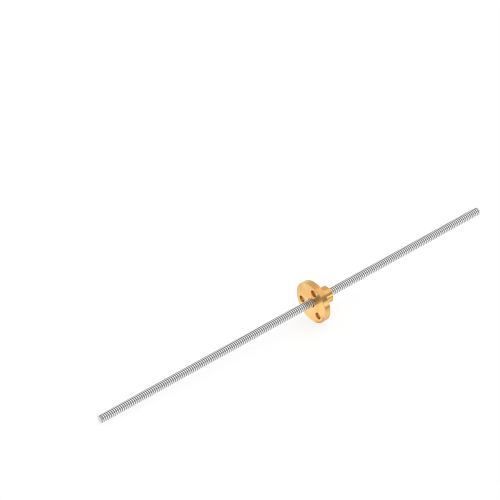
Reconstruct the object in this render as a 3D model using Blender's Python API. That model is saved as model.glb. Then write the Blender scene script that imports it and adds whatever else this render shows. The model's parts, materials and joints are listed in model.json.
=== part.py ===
"""A rolled trapezoidal lead screw with its flanged nut, lying as it comes to rest.

The screw is one straight steel rod, threaded from end to end with a single-start right-hand thread.
The nut is one turned brass piece: a round flange with three screw holes and a short barrel behind it.

Both are modelled about a shared axis, local +Z, which runs from the screw's near end to its far end.
The nut's flange is wider than the screw, so the pair rests on the flange's rim and on the near end of
the screw, and the shared axis climbs gently towards +X.
"""

import math

import bmesh
import bpy
from mathutils import Matrix

# Screw: sizes in metres
SCREW_LENGTH = 0.218
MAJOR_DIAMETER = 0.00385
PITCH = 0.001
THREAD_DEPTH = 0.0006
END_CHAMFER = 0.0005

# Nut: sizes in metres and degrees
NUT_POSITION = 0.118
NUT_LENGTH = 0.010
FLANGE_DIAMETER = 0.020
FLANGE_THICKNESS = 0.003
BARREL_DIAMETER = 0.008
HOLE_COUNT = 3
HOLE_DIAMETER = 0.0032
HOLE_CIRCLE = 0.0132
HOLE_TURN = 78.0
RIM_CHAMFER = 0.0003
BARREL_CHAMFER = 0.0004
BORE_CHAMFER = 0.0003
HOLE_CHAMFER = 0.0002
BORE_CLEARANCE = 0.0003

# Faces around each round form
STEPS_PER_TURN = 12
NUT_STEPS = 32
HOLE_STEPS = 24

# How far a cutter stands clear of the surface that it doesn't cut
CUTTER_REACH = 0.001
# Points this close are one point
MERGE_DISTANCE = 0.000005
SHARP_ANGLE = 30.0


def clear_scene():
    for item in list(bpy.data.objects):
        bpy.data.objects.remove(item, do_unlink=True)


def metal(name, colour, roughness):
    material = bpy.data.materials.new(name)
    material.use_nodes = True
    shader = material.node_tree.nodes["Principled BSDF"]
    shader.inputs["Base Color"].default_value = (*colour, 1.0)
    shader.inputs["Metallic"].default_value = 1.0
    shader.inputs["Roughness"].default_value = roughness
    return material


def add_object(name, bm, parent, material=None):
    """Puts the mesh in the scene under its name, shaded smooth apart from its sharp edges."""
    mesh = bpy.data.meshes.new(name)
    bm.to_mesh(mesh)
    bm.free()
    mesh.shade_smooth()
    mesh.set_sharp_from_angle(angle=math.radians(SHARP_ANGLE))
    item = bpy.data.objects.new(name, mesh)
    bpy.context.scene.collection.objects.link(item)
    item.parent = parent
    if material:
        mesh.materials.append(material)
    return item


def add_cutter(name, bm, parent):
    cutter = add_object(name, bm, parent)
    cutter.hide_render = True
    cutter.display_type = "WIRE"
    return cutter


def cut(item, operation, cutter):
    boolean = item.modifiers.new(cutter.name, "BOOLEAN")
    boolean.operation = operation
    boolean.solver = "EXACT"
    boolean.object = cutter


def add_empty(name, parent=None):
    empty = bpy.data.objects.new(name, None)
    bpy.context.scene.collection.objects.link(empty)
    empty.parent = parent
    return empty


def turned(profile, steps, closed):
    """A solid of revolution about Z from (radius, height) points, listed down its outer side.

    A closed profile makes a ring. An open one starts and ends on the axis. A flat of the rim, not a
    corner, faces local +X.
    """
    bm = bmesh.new()
    half_step = Matrix.Rotation(math.pi / steps, 4, "Z")
    points = [bm.verts.new((radius, 0.0, height)) for radius, height in profile]
    pairs = list(zip(points, points[1:]))
    if closed:
        pairs.append((points[-1], points[0]))
    edges = [bm.edges.new(pair) for pair in pairs]
    bmesh.ops.spin(
        bm,
        geom=points + edges,
        cent=(0.0, 0.0, 0.0),
        axis=(0.0, 0.0, 1.0),
        angle=2.0 * math.pi,
        steps=steps,
    )
    bmesh.ops.remove_doubles(bm, verts=bm.verts[:], dist=MERGE_DISTANCE)
    bmesh.ops.recalc_face_normals(bm, faces=bm.faces[:])
    bmesh.ops.transform(bm, matrix=half_step, verts=bm.verts[:])
    return bm


def close_ends(bm):
    """Closes each open end of a tube with a fan of triangles around a point on the axis."""
    rims = [edge for edge in bm.edges if edge.is_boundary]
    middle = sum(vert.co.z for vert in bm.verts) / len(bm.verts)
    for upper in (False, True):
        rim = [edge for edge in rims if (edge.verts[0].co.z > middle) == upper]
        heights = [vert.co.z for edge in rim for vert in edge.verts]
        centre = bm.verts.new((0.0, 0.0, sum(heights) / len(heights)))
        for edge in rim:
            bm.faces.new((edge.verts[0], edge.verts[1], centre))
    bmesh.ops.recalc_face_normals(bm, faces=bm.faces[:])


def helical_thread(first_crest, length):
    """A right-hand helical ridge and groove about Z, longer than the screw at both ends.

    One pitch of the profile, from root to crest to root, is swept round and up by one pitch a turn.
    The crest line crosses local +X at first_crest and at each whole pitch from there.
    """
    bm = bmesh.new()
    crest_radius = MAJOR_DIAMETER / 2.0
    root_radius = crest_radius - THREAD_DEPTH
    spare_turns = 2
    turns = math.ceil(length / PITCH) + 2 * spare_turns
    lowest_crest = first_crest - spare_turns * PITCH
    points = [
        bm.verts.new((root_radius, 0.0, lowest_crest + PITCH / 2.0)),
        bm.verts.new((crest_radius, 0.0, lowest_crest)),
        bm.verts.new((root_radius, 0.0, lowest_crest - PITCH / 2.0)),
    ]
    edges = [bm.edges.new(pair) for pair in zip(points, points[1:])]
    bmesh.ops.spin(
        bm,
        geom=points + edges,
        cent=(0.0, 0.0, 0.0),
        axis=(0.0, 0.0, 1.0),
        dvec=(0.0, 0.0, PITCH / STEPS_PER_TURN),
        angle=2.0 * math.pi * turns,
        steps=STEPS_PER_TURN * turns,
    )
    bmesh.ops.remove_doubles(bm, verts=bm.verts[:], dist=MERGE_DISTANCE)
    close_ends(bm)
    return bm


def first_crest_height():
    """Where the first whole crest crosses the underside of the screw, just past the end chamfer."""
    return END_CHAMFER + PITCH / 4.0


def screw_blank():
    """The rod that the thread is trimmed by: flat ends and end chamfers, wider than the thread between."""
    wide = MAJOR_DIAMETER / 2.0 + CUTTER_REACH
    cone_height = END_CHAMFER + CUTTER_REACH
    end_radius = MAJOR_DIAMETER / 2.0 - END_CHAMFER
    profile = [
        (0.0, SCREW_LENGTH),
        (end_radius, SCREW_LENGTH),
        (wide, SCREW_LENGTH - cone_height),
        (wide, cone_height),
        (end_radius, 0.0),
        (0.0, 0.0),
    ]
    return turned(profile, 4 * STEPS_PER_TURN, closed=False)


def build_screw(axis):
    steel = metal("threaded steel", (0.62, 0.63, 0.64), 0.28)
    thread = helical_thread(first_crest_height(), SCREW_LENGTH)
    screw = add_object("lead_screw", thread, axis, steel)
    blank = add_cutter("screw_blank", screw_blank(), axis)
    cut(screw, "INTERSECT", blank)
    return screw


def nut_body():
    """The turned nut: flange face at zero height, barrel above it, and a bore that clears the thread.

    Its flats, not its corners, stand at the true radius, so the nut rests on a flat at full size.
    """
    rim = FLANGE_DIAMETER / 2.0
    barrel = BARREL_DIAMETER / 2.0
    bore = MAJOR_DIAMETER / 2.0 + BORE_CLEARANCE
    profile = [
        (bore, NUT_LENGTH - BORE_CHAMFER),
        (bore + BORE_CHAMFER, NUT_LENGTH),
        (barrel - BARREL_CHAMFER, NUT_LENGTH),
        (barrel, NUT_LENGTH - BARREL_CHAMFER),
        (barrel, FLANGE_THICKNESS),
        (rim - RIM_CHAMFER, FLANGE_THICKNESS),
        (rim, FLANGE_THICKNESS - RIM_CHAMFER),
        (rim, RIM_CHAMFER),
        (rim - RIM_CHAMFER, 0.0),
        (bore + BORE_CHAMFER, 0.0),
        (bore, BORE_CHAMFER),
    ]
    to_corner = 1.0 / math.cos(math.pi / NUT_STEPS)
    corners = [(radius * to_corner, height) for radius, height in profile]
    return turned(corners, NUT_STEPS, closed=True)


def hole_cutter():
    """A drill through the flange with a small countersink at both faces."""
    radius = HOLE_DIAMETER / 2.0
    flare = radius + HOLE_CHAMFER + CUTTER_REACH
    top = FLANGE_THICKNESS + CUTTER_REACH
    bottom = -CUTTER_REACH
    profile = [
        (0.0, top),
        (flare, top),
        (radius, FLANGE_THICKNESS - HOLE_CHAMFER),
        (radius, HOLE_CHAMFER),
        (flare, bottom),
        (0.0, bottom),
    ]
    return turned(profile, HOLE_STEPS, closed=False)


def build_nut(axis):
    brass = metal("turned brass", (0.86, 0.60, 0.26), 0.22)
    place = add_empty("nut_place", axis)
    place.location = (0.0, 0.0, NUT_POSITION)
    nut = add_object("flanged_nut", nut_body(), place, brass)
    for number in range(HOLE_COUNT):
        turn = math.radians(HOLE_TURN) + 2.0 * math.pi * number / HOLE_COUNT
        drill = add_cutter(f"hole_{number + 1}", hole_cutter(), place)
        drill.location = (
            HOLE_CIRCLE / 2.0 * math.cos(turn),
            HOLE_CIRCLE / 2.0 * math.sin(turn),
            0.0,
        )
        cut(nut, "DIFFERENCE", drill)
    return nut


def resting_axis():
    """The shared axis as the pair lies: on the first crest of the screw and on a flat of the flange.

    Both points of contact are on the underside, local +X. The line through them is the floor.
    """
    rim_depth = FLANGE_DIAMETER / 2.0
    rim_height = NUT_POSITION + RIM_CHAMFER
    crest_depth = MAJOR_DIAMETER / 2.0
    crest_height = first_crest_height()
    tilt = math.atan2(rim_depth - crest_depth, rim_height - crest_height)
    axis = add_empty("screw_axis")
    axis.rotation_euler = (0.0, math.radians(90.0) - tilt, 0.0)
    axis.location = (
        -SCREW_LENGTH / 2.0 * math.cos(tilt),
        0.0,
        crest_depth * math.cos(tilt) - crest_height * math.sin(tilt),
    )
    return axis


def main():
    clear_scene()
    axis = resting_axis()
    build_screw(axis)
    build_nut(axis)


main()
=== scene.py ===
# %% [markdown]
# # A miniature lead screw and its flanged nut
#
# A lead screw turns rotation into slow, strong travel. The screw here is a thin steel rod with a
# trapezoidal thread rolled along its whole length, and the nut is one piece of brass, turned on a
# lathe: a flange with three screw holes and a short barrel.
#
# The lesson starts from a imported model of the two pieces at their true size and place. We keep its
# frame and dress it: each piece is made again as a fine surface with numpy, and given a metal that
# holds up from close by.

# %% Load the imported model
import json
import math

import bpy
import numpy as np
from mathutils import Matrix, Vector


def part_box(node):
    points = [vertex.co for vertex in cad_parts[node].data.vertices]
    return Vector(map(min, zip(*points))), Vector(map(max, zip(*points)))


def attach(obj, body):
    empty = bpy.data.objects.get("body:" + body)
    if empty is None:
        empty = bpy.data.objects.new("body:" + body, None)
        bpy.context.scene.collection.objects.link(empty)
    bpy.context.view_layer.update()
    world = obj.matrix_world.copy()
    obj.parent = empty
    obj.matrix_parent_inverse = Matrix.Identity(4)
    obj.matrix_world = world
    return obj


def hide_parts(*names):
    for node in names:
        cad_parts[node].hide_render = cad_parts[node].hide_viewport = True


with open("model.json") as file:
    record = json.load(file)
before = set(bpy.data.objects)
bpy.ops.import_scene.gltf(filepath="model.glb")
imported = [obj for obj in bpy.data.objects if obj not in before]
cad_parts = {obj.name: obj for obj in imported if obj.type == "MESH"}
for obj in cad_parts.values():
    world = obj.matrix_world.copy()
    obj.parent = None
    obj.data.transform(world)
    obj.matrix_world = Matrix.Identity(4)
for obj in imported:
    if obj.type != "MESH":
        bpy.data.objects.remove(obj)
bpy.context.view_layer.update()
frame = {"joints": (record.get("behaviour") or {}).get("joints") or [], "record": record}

# %% [markdown]
# ## The shared axis
#
# Both pieces are round about one axis, and the pair lies on a table, so that axis is tilted: the
# flange's rim holds it up in the middle and one end of the screw rests on the table. We could type
# the tilt as a number, but the model already knows it. The joint gives the axis's direction, and the
# flat faces at the screw's ends give two points on it. Every shape below is written in
# (distance along the axis, radius, angle) and placed once, by one function.

# %% Read the axis
MILLIMETRE = 0.001

mounts = {mount["name"]: np.array(mount["pos_m"]) for mount in frame["record"]["mounts"]}
near_end = mounts["resting_end"]
far_end = mounts["raised_end"]
along = np.array(frame["joints"][0]["axis"])
along /= np.linalg.norm(along)
side = np.array([0.0, 1.0, 0.0])
under = np.cross(side, along)
tilt = math.asin(along[2])
screw_length = float(np.linalg.norm(far_end - near_end))
flange_at = float((mounts["flange_face"] - near_end) @ along)
seat_at = float((mounts["flange_seat"] - near_end) @ along)
print("screw", round(screw_length / MILLIMETRE, 2), "mm long")
print("axis tilted by", round(math.degrees(tilt), 2), "degrees")
print("flange from", round(flange_at / MILLIMETRE, 2), "to", round(seat_at / MILLIMETRE, 2), "mm")


# %% Place points around the axis
def outward(angle):
    """The unit vector away from the axis: cosine of the angle down, sine of the angle towards +Y.

    So the angle is counted from the underside, and turns towards +Y.
    """
    angle = np.asarray(angle)
    return np.cos(angle)[..., None] * under + np.sin(angle)[..., None] * side


def place(distance, radius, angle):
    """World points: from the near end, the distance along the axis and then the radius outward."""
    distance, radius, angle = np.broadcast_arrays(distance, radius, angle)
    return near_end + distance[..., None] * along + radius[..., None] * outward(angle)


# %% [markdown]
# ## From arrays to a mesh
#
# Each shape starts as an array of points and an array of quads on a grid. A grid is easy to work
# out, but where it is rolled up or squeezed flat, several of its points fall on one place, and the
# surface would have slits and faces without area. Merge by Distance could mend that afterwards.
# Here numpy does it before the mesh exists, so each mesh is made once, closed and clean.

# %% Merge the points that coincide
MERGE_GRID = 1e-8


def merged(points, quads):
    """Points that coincide become one. A quad with two equal corners becomes a triangle.

    A quad with fewer corners left is dropped. Returns which of the points are kept, and the quads
    and triangles between them.
    """
    keys = np.round(points / MERGE_GRID).astype(np.int64)
    _, first, number = np.unique(keys, axis=0, return_index=True, return_inverse=True)
    quads = number.reshape(-1)[quads]
    same = quads == np.roll(quads, -1, axis=1)
    whole = quads[same.sum(axis=1) == 0]
    folded = same.sum(axis=1) == 1
    triangles = quads[folded][~same[folded]].reshape(-1, 3)
    used, short = np.unique(np.concatenate([whole.ravel(), triangles.ravel()]), return_inverse=True)
    return first[used], short[:whole.size].reshape(-1, 4), short[whole.size:].reshape(-1, 3)


# %% Read a mesh as arrays
def mesh_points(mesh):
    """The place of each point, as one row of three."""
    points = np.empty(len(mesh.vertices) * 3)
    mesh.vertices.foreach_get("co", points)
    return points.reshape(-1, 3)


def mesh_corners(mesh):
    """The point at each corner of each face, one face after another."""
    corners = np.empty(len(mesh.loops), dtype=np.int32)
    mesh.loops.foreach_get("vertex_index", corners)
    return corners


# %% Make an object
END_TOLERANCE = 1e-6
SHARP_ANGLE = 30.0


def sharpen_ends(mesh):
    """Marks each edge that lies in the plane of an end of the screw as sharp, so its face is flat."""
    distance = (mesh_points(mesh) - near_end) @ along
    at_end = np.minimum(np.abs(distance), np.abs(distance - screw_length)) < END_TOLERANCE
    edges = np.empty(len(mesh.edges) * 2, dtype=np.int32)
    mesh.edges.foreach_get("vertices", edges)
    sharp = np.empty(len(mesh.edges), dtype=bool)
    marks = mesh.attributes["sharp_edge"].data
    marks.foreach_get("value", sharp)
    marks.foreach_set("value", sharp | at_end[edges.reshape(-1, 2)].all(axis=1))


def mesh_object(name, points, faces, sharp_angle=SHARP_ANGLE, normals=None):
    """One object from an array of points and some index arrays, shaded smooth apart from its edges.

    Where normals are given, each point is shaded with its own, and a zero keeps its faces' own.
    """
    mesh = bpy.data.meshes.new(name)
    rows = [row for group in faces for row in group.tolist()]
    mesh.from_pydata(points.tolist(), [], rows)
    mesh.update()
    mesh.shade_smooth()
    mesh.set_sharp_from_angle(angle=math.radians(sharp_angle))
    if normals is not None:
        sharpen_ends(mesh)
        mesh.normals_split_custom_set(normals[mesh_corners(mesh)].tolist())
    item = bpy.data.objects.new(name, mesh)
    bpy.context.scene.collection.objects.link(item)
    print(name, len(mesh.vertices), "points,", len(mesh.polygons), "faces")
    return item


# %% [markdown]
# ## The thread
#
# A trapezoidal thread has flat crests, flat roots and flanks that lean 15 degrees. It could be a
# Screw modifier on a profile, but then the run-out at both ends has to be cut away afterwards. Here
# the whole thread is one strip instead: a profile of one pitch, carried round and along the axis.
# The far edge of each turn is the near edge of the next, so the strip closes on itself. Where the
# strip passes an end of the rod, its points are pulled back onto the end face, and the chamfer is
# a cone that no point may stand outside. Each point also gets the exact normal of the flat that it
# ends, so the crests and flanks are shaded flat and only the small bevels between them are round.

# %% Thread profile
PITCH = 0.001
THREAD_DEPTH = 0.00053
# A little less than the solid's, so that the bevelled crests stay inside the solid's box
CREST_RADIUS = 0.00191
# Where the first whole crest crosses the underside: the rod rests on it, as the solid does
FIRST_CREST = 0.75 * PITCH
FLANK_SLOPE = 1 / math.tan(math.radians(15))

# Where the crest's flat, the flank and the root's flat meet, in pitches from the middle of a crest.
# Both corners are bevels: they run from FLAT to ROUND, and each takes one step of the depth.
CREST_FLAT = 0.178
CREST_ROUND = 0.207
ROOT_ROUND = 0.334
ROOT_FLAT = 0.363
BEVEL_STEP = 0.07

half_share = np.array([CREST_FLAT, CREST_ROUND, ROOT_ROUND, ROOT_FLAT])
half_depth = np.array([0.0, BEVEL_STEP, 1.0 - BEVEL_STEP, 1.0])
half_slope = np.array([0.0, FLANK_SLOPE, FLANK_SLOPE, 0.0])
profile_share = np.concatenate([-half_share[::-1], half_share])
profile_depth = np.concatenate([half_depth[::-1], half_depth])
profile_slope = np.concatenate([half_slope[::-1], -half_slope])
print("profile points in one pitch:", len(profile_share))


# %% Read the profile
def opened_profile(opened):
    """The profile's places, with each flank moved away from the crest by a share of the pitch."""
    return profile_share + opened * np.sign(profile_share)


def place_in_pitch(distance, angle):
    """How many pitches a point lies past the first crest: its distance less its share of a turn."""
    return (distance - FIRST_CREST) / PITCH - angle / (2 * math.pi)


def depth_at(distance, angle, opened=0.0):
    """Share of the thread's depth: the profile, read by linear interpolation at the place in pitch."""
    around = (place_in_pitch(distance, angle) + 0.5) % 1.0 - 0.5
    return np.interp(around, opened_profile(opened), profile_depth)


# %% Wind the profile
SPARE_TURNS = 2


def helix_strip(steps, start, stop, opened=0.0):
    """Distance, angle and place in the profile of every point of a threaded surface, and its quads.

    Point (k, m) lies k steps round and is the m-th of the profile. Its distance along the axis is the
    first crest's, plus one pitch for each whole turn, plus its own share of the pitch. Its neighbour
    past the last profile point is the first profile point one whole turn later. A distance past an
    end is pulled back to that end.
    """
    first = math.floor((start - FIRST_CREST) / PITCH) - SPARE_TURNS
    turns = math.ceil((stop - start) / PITCH) + 2 * SPARE_TURNS + 1
    across = len(profile_share)
    k = np.arange((turns + 1) * steps)[:, None]
    m = np.arange(across)[None, :]
    distance = FIRST_CREST + PITCH * (k / steps + first + opened_profile(opened)[None, :])
    angle = np.broadcast_to(2 * math.pi * (k % steps) / steps, distance.shape)
    column = np.broadcast_to(m, distance.shape)
    row = k[:turns * steps - 1]
    here = row * across + m
    over = np.where(m < across - 1, here + 1, (row + steps) * across)
    quads = np.stack([here, here + across, over + across, over], axis=-1)
    distance = np.clip(distance, start, stop)
    return distance.ravel(), angle.ravel(), column.ravel(), quads.reshape(-1, 4)


# %% Shade the flats and close the ends
def thread_normals(radius, angle, slope):
    """Outward, less the slope times the axis, plus the slope times the lead times the way round.

    The slope is the change of radius for each unit along the axis. The lead is the climb for each
    unit round at that radius.
    """
    slope = slope[:, None]
    away = outward(angle)
    around = np.cross(along, away)
    lead = (PITCH / (2 * math.pi * radius))[:, None]
    return away - slope * along + slope * lead * around


def end_fan(distance, angle, quads, level, centre):
    """A triangle to the centre, as a quad, for each edge of the strip that lies alone at the level.

    The quad names the centre twice, and merging makes it a triangle. Edges along the axis have no
    length once they are pulled back, so only an edge between two angles counts.
    """
    low = np.abs(distance[quads] - level) < MERGE_GRID
    pairs = []
    for a, b in ((0, 1), (1, 2), (2, 3), (3, 0)):
        edge = low[:, a] & low[:, b] & ~low.all(axis=1) & (angle[quads[:, a]] != angle[quads[:, b]])
        pairs.append(quads[edge][:, [b, a]])
    pairs = np.concatenate(pairs)
    return np.hstack([pairs, np.full((len(pairs), 2), centre)])


# %% Build the screw
SCREW_STEPS = 48
# The bevel of a cut end, which is short, so that almost no chamfer shows
END_CHAMFER_LENGTH = 0.00025
END_CHAMFER_DEPTH = 0.0005
# How dark the cut end and its chamfer are painted, from 0 for a lit crest to 1 for a shaded root
CUT_SHADE = 0.34
CHAMFER_SHADE = 0.6


def build_screw():
    """The helical strip, trimmed by both end chamfers, with a fan of triangles on each end face.

    The radius is the thread's, which is the crest's less the depth there, or the chamfer's cone where
    that is smaller.
    """
    distance, angle, column, quads = helix_strip(SCREW_STEPS, 0.0, screw_length)
    depth = depth_at(distance, angle)
    inside = np.minimum(distance, screw_length - distance)
    thread = CREST_RADIUS - THREAD_DEPTH * depth
    cone = CREST_RADIUS - END_CHAMFER_DEPTH + inside * END_CHAMFER_DEPTH / END_CHAMFER_LENGTH
    radius = np.minimum(thread, cone)
    on_thread = (thread < cone) & (inside > 0)
    normals = thread_normals(radius, angle, profile_slope[column]) * on_thread[:, None]
    fans = [end_fan(distance, angle, quads, level, len(distance) + number)
            for number, level in enumerate((0.0, screw_length))]
    points = np.concatenate([place(distance, radius, angle), [near_end, far_end]])
    normals = np.concatenate([normals, np.zeros((2, 3))])
    # The ends are painted darker, and each thread point's depth paints shade into the roots
    off_thread = np.where(inside > 0, CHAMFER_SHADE, CUT_SHADE)
    groove_shade = np.append(np.where(on_thread, depth, off_thread), [CUT_SHADE, CUT_SHADE])
    kept, whole, triangles = merged(points, np.concatenate([quads, *fans]))
    item = mesh_object("threaded_rod", points[kept], [whole, triangles], normals=normals[kept])
    item.data.attributes.new("groove_shade", "FLOAT", "POINT").data.foreach_set("value", groove_shade[kept])
    return item


rod = build_screw()
print("turns of thread:", round(screw_length / PITCH))

# %% [markdown]
# ## The nut
#
# The nut is turned from brass bar, so its outside is a profile carried once round the axis. Its
# corners are chamfered and then just broken with a scraper, which is what catches the light. A Bevel
# modifier could break them, but the threaded bore has edges of its own that must stay as they are,
# so each corner of the profile is replaced by a small arc. The bore has the screw's thread with a
# little room all over, and a countersink at both mouths. Outside and bore meet in a circle at each
# mouth, which closes the mesh.

# %% Nut sizes
NUT_LENGTH = 0.010
# The flange's smaller chamfer brings its corner nearer the table, and this room keeps it off
TABLE_ROOM = 0.00001
FLANGE_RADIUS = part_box("flanged_nut")[1][1] - TABLE_ROOM
BARREL_RADIUS = 0.004
RIM_CHAMFER = 0.00015
BARREL_CHAMFER = 0.0004
SEAT_FILLET = 0.00025
MOUTH_RADIUS = 0.0022
back_at = flange_at + NUT_LENGTH
print("flange across", round(2 * FLANGE_RADIUS / MILLIMETRE, 2), "mm")


def nut_corners():
    """The outside's corners as (distance, radius), from the front mouth over the rim to the back."""
    return np.array([
        (flange_at, MOUTH_RADIUS),
        (flange_at, FLANGE_RADIUS - RIM_CHAMFER),
        (flange_at + RIM_CHAMFER, FLANGE_RADIUS),
        (seat_at - RIM_CHAMFER, FLANGE_RADIUS),
        (seat_at, FLANGE_RADIUS - RIM_CHAMFER),
        (seat_at, BARREL_RADIUS + SEAT_FILLET),
        (seat_at + SEAT_FILLET, BARREL_RADIUS),
        (back_at - BARREL_CHAMFER, BARREL_RADIUS),
        (back_at, BARREL_RADIUS - BARREL_CHAMFER),
        (back_at, MOUTH_RADIUS),
    ])


# %% Break the corners
BROKEN_EDGE = 0.00008
FLAT_MARGIN = 0.00006
ARC_POINTS = 5


def rounded(corners, radius):
    """The outline with each inner corner replaced by an arc that touches both of its sides.

    The arc of radius r meets a side at r times the tangent of half the turn from the corner. A point
    stands a little outside each arc too, so that smooth shading leaves the flats flat.
    """
    outline = [corners[0]]
    for before, corner, after in zip(corners, corners[1:], corners[2:]):
        into = (corner - before) / np.linalg.norm(corner - before)
        out = (after - corner) / np.linalg.norm(after - corner)
        turn = math.atan2(into[0] * out[1] - into[1] * out[0], into @ out)
        reach = radius * math.tan(abs(turn) / 2)
        normal = math.copysign(1.0, turn) * np.array([-into[1], into[0]])
        start = corner - reach * into
        bend = np.linspace(0.0, abs(turn), ARC_POINTS)[:, None]
        outline.append(start - FLAT_MARGIN * into)
        outline.extend(start + radius * (np.sin(bend) * into + (1 - np.cos(bend)) * normal))
        outline.append(corner + (reach + FLAT_MARGIN) * out)
    outline.append(corners[-1])
    return np.array(outline)


# %% Turn an outline
def turned_points(outline, steps):
    """World points of an outline of (distance, radius) carried round the shared axis."""
    angle = 2 * math.pi * np.arange(steps)[None, :] / steps
    return place(outline[:, :1], outline[:, 1:], angle).reshape(-1, 3)


def turned_quads(outline, steps):
    """Quads between neighbouring points of an outline, given as (point, step) rows, once round."""
    row = np.arange(len(outline) - 1)[:, None] * steps
    step = np.arange(steps)[None, :]
    ahead = (step + 1) % steps
    quads = np.stack([row + step, row + ahead, row + steps + ahead, row + steps + step], axis=-1)
    return quads.reshape(-1, 4)


# %% Build the nut
NUT_STEPS = 192
NUT_SHARP_ANGLE = 50.0
# Room between the nut's thread and the screw's: metres all round, and a share of the pitch sideways
RADIAL_ROOM = 0.00006
FLANK_ROOM = 0.03
# How much radius each countersink of the bore loses for each unit of depth
MOUTH_SLOPE = 0.6


def bore_surface():
    """Points and quads of the nut's thread: the screw's with its room, or a mouth's cone if wider."""
    distance, angle, _, quads = helix_strip(NUT_STEPS, flange_at, back_at, FLANK_ROOM)
    thread = CREST_RADIUS + RADIAL_ROOM - THREAD_DEPTH * depth_at(distance, angle, FLANK_ROOM)
    inside = np.minimum(distance - flange_at, back_at - distance)
    cone = MOUTH_RADIUS - MOUTH_SLOPE * inside
    return place(distance, np.maximum(thread, cone), angle), quads[:, ::-1]


def build_nut_blank():
    """The turned outside and the threaded bore, met at both mouths."""
    outline = rounded(nut_corners(), BROKEN_EDGE)
    outside = turned_points(outline, NUT_STEPS)
    bore, bore_quads = bore_surface()
    points = np.concatenate([outside, bore])
    quads = np.concatenate([turned_quads(outline, NUT_STEPS), bore_quads + len(outside)])
    kept, whole, triangles = merged(points, quads)
    return mesh_object("brass_flange_nut", points[kept], [whole, triangles], NUT_SHARP_ANGLE)


nut = build_nut_blank()

# %% [markdown]
# ## The three screw holes
#
# The holes are drilled after turning, and it is the same here: each drill is a solid turned round
# its own axis, and a Boolean takes it out of the blank. The flange could be laid out with its holes
# from the start, but the faces around them wouldn't run in rings, and a profile couldn't give them.
# The modifier is applied at once, because a finished piece keeps its whole shape in its mesh. Each
# drill is wider at both faces, which leaves a small countersink.

# %% Make a drill
HOLE_COUNT = 3
HOLE_RADIUS = 0.0016
HOLE_CIRCLE_RADIUS = 0.0066
FIRST_HOLE = math.radians(78)
COUNTERSINK = 0.00012
DRILL_STEPS = 72
DRILL_REACH = 0.0005


def build_drill(centre):
    """A closed turned solid on a hole's axis: wide, hole, wide, with a point at each end.

    The centre is the way from the shared axis to the hole's.
    """
    flare = HOLE_RADIUS + COUNTERSINK + DRILL_REACH
    outline = np.array([
        (flange_at - DRILL_REACH, 0.0),
        (flange_at - DRILL_REACH, flare),
        (flange_at + COUNTERSINK, HOLE_RADIUS),
        (seat_at - COUNTERSINK, HOLE_RADIUS),
        (seat_at + DRILL_REACH, flare),
        (seat_at + DRILL_REACH, 0.0),
    ])
    points = turned_points(outline, DRILL_STEPS) + centre
    kept, whole, triangles = merged(points, turned_quads(outline, DRILL_STEPS))
    return mesh_object("drill", points[kept], [whole, triangles])


# %% Drill the flange
def cut_away(item, cutter):
    """Takes the cutter out of the item's mesh and deletes it."""
    boolean = item.modifiers.new("cut", "BOOLEAN")
    boolean.solver = "EXACT"
    boolean.object = cutter
    graph = bpy.context.evaluated_depsgraph_get()
    finished = bpy.data.meshes.new_from_object(item.evaluated_get(graph))
    item.modifiers.clear()
    item.data = finished
    bpy.data.objects.remove(cutter)


hole_turns = FIRST_HOLE + 2 * math.pi * np.arange(HOLE_COUNT) / HOLE_COUNT
hole_centres = HOLE_CIRCLE_RADIUS * outward(hole_turns)
for hole_centre in hole_centres:
    cut_away(nut, build_drill(hole_centre))
nut.data.set_sharp_from_angle(angle=math.radians(NUT_SHARP_ANGLE))
print("nut after drilling:", len(nut.data.polygons), "faces")

# %% [markdown]
# ## Drilled and turned faces
#
# A drill and a tap leave a rougher wall than a lathe tool does, and the brass in these hollows is
# painted darker too, as painted shade, so the brass has to know which faces they made. A second
# material could tell them apart, but all that the two share would be made twice. So each face
# carries a number instead, which the one material reads.

# %% Mark the drilled faces
# A little more than the countersink, so that its own faces count as drilled
HOLE_MARGIN = 1.05 * COUNTERSINK


def with_all_corners(mesh, chosen):
    """For each face, whether all of its points are chosen."""
    starts = np.empty(len(mesh.polygons), dtype=np.int32)
    mesh.polygons.foreach_get("loop_start", starts)
    return np.logical_and.reduceat(chosen[mesh_corners(mesh)], starts)


def mark_drilled(mesh):
    """A face attribute that is 1 in the bore and in the holes, and 0 on the turned outside.

    A face is in one of them when all of its points are about a radius or less from its axis.
    """
    from_axis = mesh_points(mesh) - near_end
    from_axis -= (from_axis @ along)[:, None] * along
    drilled = with_all_corners(mesh, np.linalg.norm(from_axis, axis=1) < MOUTH_RADIUS + FLAT_MARGIN)
    for centre in hole_centres:
        close = np.linalg.norm(from_axis - centre, axis=1) < HOLE_RADIUS + HOLE_MARGIN
        drilled |= with_all_corners(mesh, close)
    mesh.attributes.new("drilled", "FLOAT", "FACE").data.foreach_set("value", drilled.astype(float))
    print("faces in the bore and the holes:", int(drilled.sum()))


mark_drilled(nut.data)

# %% [markdown]
# ## Metals
#
# Both metals are one Principled shader each, fully metallic. What makes a metal look real is not its
# colour alone but how its gloss changes over the surface. A photograph could be wrapped round each
# piece, but nodes keep their detail from any distance. The patterns are read in the piece's own
# coordinates, moved and turned onto the shared axis by a Mapping node.

# %% Material helpers
def new_metal(name):
    """A fully metallic material, its nodes and its shader."""
    material = bpy.data.materials.new(name)
    material.use_nodes = True
    shader = material.node_tree.nodes["Principled BSDF"]
    shader.inputs["Metallic"].default_value = 1.0
    return material, material.node_tree, shader


def cover(item, material):
    """Gives the item this material and no other."""
    item.data.materials.clear()
    item.data.materials.append(material)
    print(item.name, "in", material.name, "with", len(material.node_tree.nodes), "nodes")


def add_node(tree, kind, **settings):
    """A new node of this kind, with its settings."""
    node = tree.nodes.new(kind)
    for name, value in settings.items():
        setattr(node, name, value)
    return node


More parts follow.
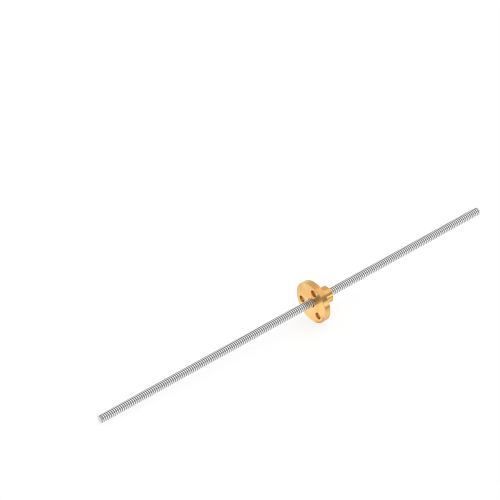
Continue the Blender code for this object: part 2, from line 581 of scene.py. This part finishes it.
def spread(tree, value, source, target, kind="LINEAR"):
    """The value moved from one (low, high) range to another and held inside it."""
    node = add_node(tree, "ShaderNodeMapRange", interpolation_type=kind)
    node.inputs["From Min"].default_value = source[0]
    node.inputs["From Max"].default_value = source[1]
    node.inputs["To Min"].default_value = target[0]
    node.inputs["To Max"].default_value = target[1]
    tree.links.new(value, node.inputs["Value"])
    return node.outputs["Result"]


def combined(tree, operation, first, second):
    """Two numbers taken together by a Math node, such as their product or the larger of them."""
    node = add_node(tree, "ShaderNodeMath", operation=operation)
    tree.links.new(first, node.inputs[0])
    tree.links.new(second, node.inputs[1])
    return node.outputs["Value"]


def between(tree, share, first, second):
    """A colour that goes from the first to the second with the share."""
    mix = add_node(tree, "ShaderNodeMix", data_type="RGBA")
    mix.inputs["A"].default_value = (*first, 1.0)
    mix.inputs["B"].default_value = (*second, 1.0)
    tree.links.new(share, mix.inputs["Factor"])
    return mix.outputs["Result"]


# %% Pattern helpers
NOISE_DETAIL = 3.0


def axis_coordinates(tree, origin):
    """Object coordinates moved to the origin and turned so that X runs along the shared axis."""
    where = add_node(tree, "ShaderNodeTexCoord")
    turn = add_node(tree, "ShaderNodeMapping", vector_type="TEXTURE")
    turn.inputs["Location"].default_value = origin
    turn.inputs["Rotation"].default_value = (0.0, -tilt, 0.0)
    tree.links.new(where.outputs["Object"], turn.inputs["Vector"])
    return turn.outputs["Vector"]


def noise(tree, vector, scale, stretch=(1.0, 1.0, 1.0), shift=(0.0, 0.0, 0.0)):
    """Noise read along the vector after its parts are multiplied by the stretch and then shifted."""
    scaled = add_node(tree, "ShaderNodeVectorMath", operation="MULTIPLY_ADD")
    scaled.inputs[1].default_value = stretch
    scaled.inputs[2].default_value = shift
    texture = add_node(tree, "ShaderNodeTexNoise")
    texture.inputs["Scale"].default_value = scale
    texture.inputs["Detail"].default_value = NOISE_DETAIL
    tree.links.new(vector, scaled.inputs[0])
    tree.links.new(scaled.outputs["Vector"], texture.inputs["Vector"])
    return texture.outputs["Fac"]


def bump(tree, shader, height, depth, strength):
    """Tilts the shading as a relief of this depth would, weakened by the strength."""
    node = add_node(tree, "ShaderNodeBump")
    node.inputs["Distance"].default_value = depth
    node.inputs["Strength"].default_value = strength
    tree.links.new(height, node.inputs["Height"])
    tree.links.new(node.outputs["Normal"], shader.inputs["Normal"])


# %% [markdown]
# ## Rolled steel
#
# The thread is pressed into the rod between dies. Its crests are painted brighter than steel, as a
# painted highlight, and its roots darker, as painted shade in the hollows, and the sawn end and its
# chamfer are painted darker than a crest too. The stripes could be painted by distance along the
# axis, but the attribute that holds the painted shade, made with the thread itself, can't slide off
# it. Faint streaks run around the rod, as the dies did, and change its gloss a little.

# %% Steel
# The crest's colour is a painted highlight, brighter than steel. The root's is painted shade in the
# hollows
LIT_CREST_COLOUR = (0.97, 0.975, 0.985)
SHADED_ROOT_COLOUR = (0.35, 0.355, 0.365)
# The shares of the thread's depth between which the lit crest's colour gives way to the painted shade
GROOVE_EDGE = (0.05, 0.5)
STREAK_SCALE = 900.0
STREAK_STRETCH = (3.0, 1.0, 1.0)
STREAK_RANGE = (0.3, 0.7)
STEEL_ROUGHNESS = (0.12, 0.24)
STREAK_DEPTH = 0.000002
STREAK_STRENGTH = 0.3


def rolled_steel():
    """Painted highlight on the crests, painted shade in the roots, and faint streaks around the rod.
    """
    material, tree, shader = new_metal("rolled steel")
    groove_shade = add_node(tree, "ShaderNodeAttribute", attribute_name="groove_shade").outputs["Fac"]
    shade = spread(tree, groove_shade, GROOVE_EDGE, (0.0, 1.0))
    colour = between(tree, shade, LIT_CREST_COLOUR, SHADED_ROOT_COLOUR)
    tree.links.new(colour, shader.inputs["Base Color"])
    streaks = noise(tree, axis_coordinates(tree, near_end), STREAK_SCALE, STREAK_STRETCH)
    worn = spread(tree, streaks, STREAK_RANGE, STEEL_ROUGHNESS)
    tree.links.new(worn, shader.inputs["Roughness"])
    bump(tree, shader, streaks, STREAK_DEPTH, STREAK_STRENGTH)
    return material


cover(rod, rolled_steel())
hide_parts("lead_screw")
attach(rod, "screw")

# %% [markdown]
# ## Turned brass
#
# A lathe leaves fine rings round the axis, too small to see one by one, which break up the
# reflection. The flange's front was faced across and is a little rougher than the rim, and the
# drilled walls are rougher still. Brass also darkens slowly and unevenly, so its colour and gloss
# drift in soft clouds. Anisotropy on the shader could stand for the rings, but it needs tangents that
# turn with each face, and rings of bump need only the distance from the axis.

# %% Brass colours
ORANGE_BRASS = (0.855, 0.475, 0.150)
YELLOW_BRASS = (0.925, 0.600, 0.225)
CLOUD_SCALE = 130.0
CLOUD_SHIFT = (0.04, 0.0, 0.0)
CLOUD_COLOUR_RANGE = (0.35, 0.65)
UNTINTED = (1.0, 1.0, 1.0)
# A painted shade for the hollow bore and the holes
DRILLED_SHADE_TINT = (0.82, 0.78, 0.72)


def brass_colour(tree, cloud, drilled):
    """Clouds of orange and yellow brass, times a painted shade in the bore and the holes."""
    shade = spread(tree, cloud, CLOUD_COLOUR_RANGE, (0.0, 1.0))
    tinted = add_node(tree, "ShaderNodeMix", data_type="RGBA", blend_type="MULTIPLY")
    tinted.inputs["Factor"].default_value = 1.0
    tree.links.new(between(tree, shade, ORANGE_BRASS, YELLOW_BRASS), tinted.inputs["A"])
    tree.links.new(between(tree, drilled, UNTINTED, DRILLED_SHADE_TINT), tinted.inputs["B"])
    return tinted.outputs["Result"]


# %% Brass gloss
CLOUD_GLOSS_RANGE = (0.3, 0.7)
TURNED_ROUGHNESS = (0.09, 0.14)
FACED_ROUGHNESS = 0.21
# The faced finish ends between these depths behind the flange's front
FACED_BAND = (0.00005, 0.0003)
DRILLED_ROUGHNESS = 0.3


def brass_roughness(tree, cloud, drilled, axis):
    """The roughest of three finishes: turned all over, faced at the front, drilled in the holes."""
    turned = spread(tree, cloud, CLOUD_GLOSS_RANGE, TURNED_ROUGHNESS)
    split = add_node(tree, "ShaderNodeSeparateXYZ")
    tree.links.new(axis, split.inputs["Vector"])
    faced = spread(tree, split.outputs["X"], FACED_BAND, (FACED_ROUGHNESS, 0.0))
    rough_walls = spread(tree, drilled, (0.0, 1.0), (0.0, DRILLED_ROUGHNESS))
    outside = combined(tree, "MAXIMUM", turned, faced)
    return combined(tree, "MAXIMUM", outside, rough_walls)


# %% Brass
# A wave texture of scale 1 has this many radians of wave in each unit
WAVE_RADIANS = 20.0
RING_SPACING = 0.00014
RING_SCALE = 2 * math.pi / WAVE_RADIANS / RING_SPACING
RING_WANDER = 0.6
RING_DEPTH = 0.000004
RING_STRENGTH = 0.25


def turned_brass():
    """Warm brass with fine turning rings and a slow change of colour and gloss."""
    material, tree, shader = new_metal("turned brass")
    axis = axis_coordinates(tree, near_end + flange_at * along)
    cloud = noise(tree, axis, CLOUD_SCALE, shift=CLOUD_SHIFT)
    drilled = add_node(tree, "ShaderNodeAttribute", attribute_name="drilled").outputs["Fac"]
    tree.links.new(brass_colour(tree, cloud, drilled), shader.inputs["Base Color"])
    tree.links.new(brass_roughness(tree, cloud, drilled, axis), shader.inputs["Roughness"])
    rings = add_node(tree, "ShaderNodeTexWave", wave_type="RINGS", rings_direction="X")
    rings.inputs["Scale"].default_value = RING_SCALE
    rings.inputs["Distortion"].default_value = RING_WANDER
    tree.links.new(axis, rings.inputs["Vector"])
    bump(tree, shader, rings.outputs["Fac"], RING_DEPTH, RING_STRENGTH)
    return material


cover(nut, turned_brass())
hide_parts("flanged_nut")
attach(nut, "nut")

# %% [markdown]
# ## Camera
#
# The picture is a product shot from far away with a long lens: the screw's far end looks only a
# little thinner than its near end. The camera looks down on the table, with the screw running away
# to the upper right. Heading, height and distance are what a photographer would set. The lens
# follows from the image: a 500 pixel square frame on a 36 mm sensor. A Track To constraint could aim
# the camera, but it needs one more object, and nothing moves here, so the camera is turned once.

# %% Place the camera
CAMERA_HEADING = math.radians(-39.215)
CAMERA_HEIGHT = math.radians(34.637)
CAMERA_DISTANCE = 1.4836
CAMERA_AIM = np.array([-0.025944, 0.0, 0.053774])
LENS_MM = 247.7
SENSOR_MM = 36.0
CLIP_START = 0.01
CLIP_END = 20.0

level_forward = np.array([-math.sin(CAMERA_HEADING), math.cos(CAMERA_HEADING), 0.0])
forward = level_forward * math.cos(CAMERA_HEIGHT) - np.array([0.0, 0.0, math.sin(CAMERA_HEIGHT)])


def add_camera():
    """Stands back from the aim, against the way it looks, and keeps its top side up."""
    lens = bpy.data.cameras.new("product camera")
    lens.lens = LENS_MM
    lens.sensor_width = SENSOR_MM
    lens.clip_start = CLIP_START
    lens.clip_end = CLIP_END
    camera = bpy.data.objects.new("product_camera", lens)
    bpy.context.scene.collection.objects.link(camera)
    camera.location = CAMERA_AIM - forward * CAMERA_DISTANCE
    camera.rotation_mode = "QUATERNION"
    camera.rotation_quaternion = Vector(forward).to_track_quat("-Z", "Y")
    bpy.context.scene.camera = camera
    print("camera looks along", np.round(forward, 3))


add_camera()

# %% [markdown]
# ## Table
#
# The picture's background is plain white. A white floor lit to exactly white would need a lot of
# light, and the object would burn out with it. So the floor adds a little of its own white, only for
# the camera, and still takes the object's shadow. Polished metal shows what it mirrors, and a table
# that is white all over would make it look like paper. So in reflections the table glows with
# painted light and shade: bright in front, dim in a strip before the pair, a painted shadow just
# before the pair, and a painted pool of light around the pair that fades behind it.

# %% Floor brightness
FLOOR_GLOW = 0.76
# Painted light and shadow of the floor in reflections, as its glow against Y in metres
FLOOR_REACH = 0.2
FLOOR_PAINTED_LIGHT = [
    (-0.2, 0.9), (-0.14, 0.9), (-0.085, 0.28), (-0.045, 0.28), (-0.034, 0.48),
    (-0.02, 0.68), (-0.013, 0.64), (-0.008, 0.53), (-0.003, 0.5), (-0.001, 0.95),
    (0.006, 0.92), (0.012, 0.84), (0.018, 0.8), (0.03, 0.65), (0.2, 0.5),
]


def draw_curve(node, levels):
    """Sets a curve node to straight stretches between the (place, level) points."""
    curve = node.mapping.curves[0]
    curve.points[0].location = levels[0]
    curve.points[1].location = levels[-1]
    for where, level in levels[1:-1]:
        curve.points.new(where, level)
    for point in curve.points:
        point.handle_type = "VECTOR"
    node.mapping.update()


def floor_glow(tree):
    """The camera's share times the glow, plus the mirrored share times the painted light at that Y."""
    where = add_node(tree, "ShaderNodeTexCoord")
    split = add_node(tree, "ShaderNodeSeparateXYZ")
    tree.links.new(where.outputs["Object"], split.inputs["Vector"])
    pool = add_node(tree, "ShaderNodeFloatCurve")
    draw_curve(pool, [(0.5 + y / FLOOR_REACH / 2, level) for y, level in FLOOR_PAINTED_LIGHT])
    share = spread(tree, split.outputs["Y"], (-FLOOR_REACH, FLOOR_REACH), (0.0, 1.0))
    tree.links.new(share, pool.inputs["Value"])
    path = add_node(tree, "ShaderNodeLightPath")
    mirrored = combined(tree, "MULTIPLY", path.outputs["Is Glossy Ray"], pool.outputs["Value"])
    glow = add_node(tree, "ShaderNodeMath", operation="MULTIPLY_ADD")
    glow.inputs[1].default_value = FLOOR_GLOW
    tree.links.new(path.outputs["Is Camera Ray"], glow.inputs[0])
    tree.links.new(mirrored, glow.inputs[2])
    return glow.outputs["Value"]


# %% Floor
FLOOR_SIZE = 6.0
FLOOR_HEIGHT = -0.00005
FLOOR_COLOUR = (0.36, 0.36, 0.36, 1.0)
FLOOR_ROUGHNESS = 0.9
WHITE = (1.0, 1.0, 1.0, 1.0)


def white_floor():
    """A dull pale grey with no gloss, raised to white by its glow."""
    material = bpy.data.materials.new("white floor")
    material.use_nodes = True
    shader = material.node_tree.nodes["Principled BSDF"]
    shader.inputs["Base Color"].default_value = FLOOR_COLOUR
    shader.inputs["Roughness"].default_value = FLOOR_ROUGHNESS
    shader.inputs["Specular IOR Level"].default_value = 0.0
    shader.inputs["Emission Color"].default_value = WHITE
    glow = floor_glow(material.node_tree)
    material.node_tree.links.new(glow, shader.inputs["Emission Strength"])
    return material


def add_floor():
    """One level square, centred on the origin, just under the pieces."""
    half = FLOOR_SIZE / 2
    corners = np.array([(-half, -half), (half, -half), (half, half), (-half, half)])
    points = np.column_stack([corners, np.full(len(corners), FLOOR_HEIGHT)])
    floor = mesh_object("floor", points, [np.array([[0, 1, 2, 3]])])
    cover(floor, white_floor())


add_floor()

# %% [markdown]
# ## Studio
#
# The camera sees a white studio. The metal mirrors the same studio with shape in it: bright at the
# horizon and straight overhead, darker between, dimmer on the left, and with one soft dark card. The
# rod is a round mirror, so its side shows a narrow strip of the studio. We place the card and both
# lamps by where they show in the rod, and let the law of reflection say where they stand. Moving
# them by eye would take many renders. An image of a studio on the world would do as well, but this
# one has only a few numbers to change.

# %% What the rod mirrors
def seen_in_rod(turn):
    """The direction that the rod's side mirrors to the camera, turned down from its middle line.

    The view is reflected: the view less twice its part along the normal.
    """
    towards = -forward + (forward @ along) * along
    towards /= np.linalg.norm(towards)
    across = np.cross(along, towards)
    downward = -math.copysign(1.0, across[2]) * across
    normal = math.cos(turn) * towards + math.sin(turn) * downward
    return forward - 2 * (forward @ normal) * normal


# %% World
# Brightness of the studio against the height of a direction, from the horizon, 0, to overhead, 1
SKY_BRIGHTNESS = [(0.0, 0.92), (0.18, 0.82), (0.40, 0.70), (0.62, 0.70), (0.85, 0.74), (1.0, 0.95)]
# The dark card, in degrees: where it shows in the rod, its radius, and half the width of its soft edge
DARK_CARD_TURN = 8
DARK_CARD_RADIUS = 12
DARK_CARD_SOFT = 7
DARK_CARD_LEVEL = 0.58
# Towards -X the studio is dimmed to this share, and it fades back over this band of a direction's X
LEFT_LEVEL = 0.72
LEFT_BAND = (-0.6, 0.1)


def dark_card(tree, direction):
    """The card's level where a direction is near the card's middle, and 1 far from it.

    Near and far are told by the cosine of the angle between the two.
    """
    toward = add_node(tree, "ShaderNodeVectorMath", operation="DOT_PRODUCT")
    toward.inputs[1].default_value = seen_in_rod(math.radians(DARK_CARD_TURN))
    tree.links.new(direction, toward.inputs[0])
    outer = math.cos(math.radians(DARK_CARD_RADIUS + DARK_CARD_SOFT))
    inner = math.cos(math.radians(DARK_CARD_RADIUS - DARK_CARD_SOFT))
    return spread(tree, toward.outputs["Value"], (outer, inner), (1.0, DARK_CARD_LEVEL), "SMOOTHSTEP")


def add_world():
    """White to the camera, and to all else the sky's curve times the dark card times the left side."""
    world = bpy.data.worlds.new("studio")
    world.use_nodes = True
    bpy.context.scene.world = world
    tree = world.node_tree
    direction = add_node(tree, "ShaderNodeTexCoord").outputs["Generated"]
    split = add_node(tree, "ShaderNodeSeparateXYZ")
    tree.links.new(direction, split.inputs["Vector"])
    sky = add_node(tree, "ShaderNodeFloatCurve")
    draw_curve(sky, SKY_BRIGHTNESS)
    tree.links.new(split.outputs["Z"], sky.inputs["Value"])
    left = spread(tree, split.outputs["X"], LEFT_BAND, (LEFT_LEVEL, 1.0), "SMOOTHSTEP")
    carded = combined(tree, "MULTIPLY", sky.outputs["Value"], dark_card(tree, direction))
    studio = combined(tree, "MULTIPLY", carded, left)
    shown = add_node(tree, "ShaderNodeMix")
    shown.inputs["B"].default_value = 1.0
    path = add_node(tree, "ShaderNodeLightPath")
    tree.links.new(path.outputs["Is Camera Ray"], shown.inputs["Factor"])
    tree.links.new(studio, shown.inputs["A"])
    background = tree.nodes["Background"]
    background.inputs["Color"].default_value = WHITE
    tree.links.new(shown.outputs["Result"], background.inputs["Strength"])
    print(world.name, "world with", len(tree.nodes), "nodes")


add_world()

# %% Lamps
LAMP_DISTANCE = 1.4
# Each soft box: its name, the turn in degrees at which the rod shows it, width, height and brightness
SOFT_BOXES = [("overhead", -15, 0.78, 1.4, 0.24), ("right", 20, 1.6, 0.52, 0.42)]


def add_soft_box(name, direction, width, height, level):
    """A rectangular lamp that faces the middle of the rod from a direction.

    A lamp of power P and area A looks as bright as P / (pi A), so P is the level times pi A.
    """
    lamp = bpy.data.lights.new(name, "AREA")
    lamp.shape = "RECTANGLE"
    lamp.size = width
    lamp.size_y = height
    lamp.energy = level * math.pi * width * height
    item = bpy.data.objects.new(name, lamp)
    bpy.context.scene.collection.objects.link(item)
    toward = direction / np.linalg.norm(direction)
    item.location = (near_end + far_end) / 2 + toward * LAMP_DISTANCE
    item.rotation_mode = "QUATERNION"
    item.rotation_quaternion = Vector(toward).to_track_quat("Z", "Y")
    item.visible_camera = False
    print("lamp", name, "at", np.round(item.location, 2))


for box_name, box_turn, box_width, box_height, box_level in SOFT_BOXES:
    add_soft_box(box_name, seen_in_rod(math.radians(box_turn)), box_width, box_height, box_level)

# %% [markdown]
# ## Picture
#
# Last come the settings of the picture. The view transform is Standard, so colours show as they are
# written. The thread's stripes are only two pixels apart. The
# denoiser's prefilter takes stripes that fine for noise, so it is off, and a narrower pixel filter
# keeps neighbouring stripes apart. A larger picture would need neither.

# %% Finish the picture
PIXEL_FILTER_WIDTH = 1.0

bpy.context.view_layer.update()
bpy.context.scene.view_settings.view_transform = "Standard"
bpy.context.scene.cycles.denoising_prefilter = "NONE"
bpy.context.scene.cycles.filter_width = PIXEL_FILTER_WIDTH
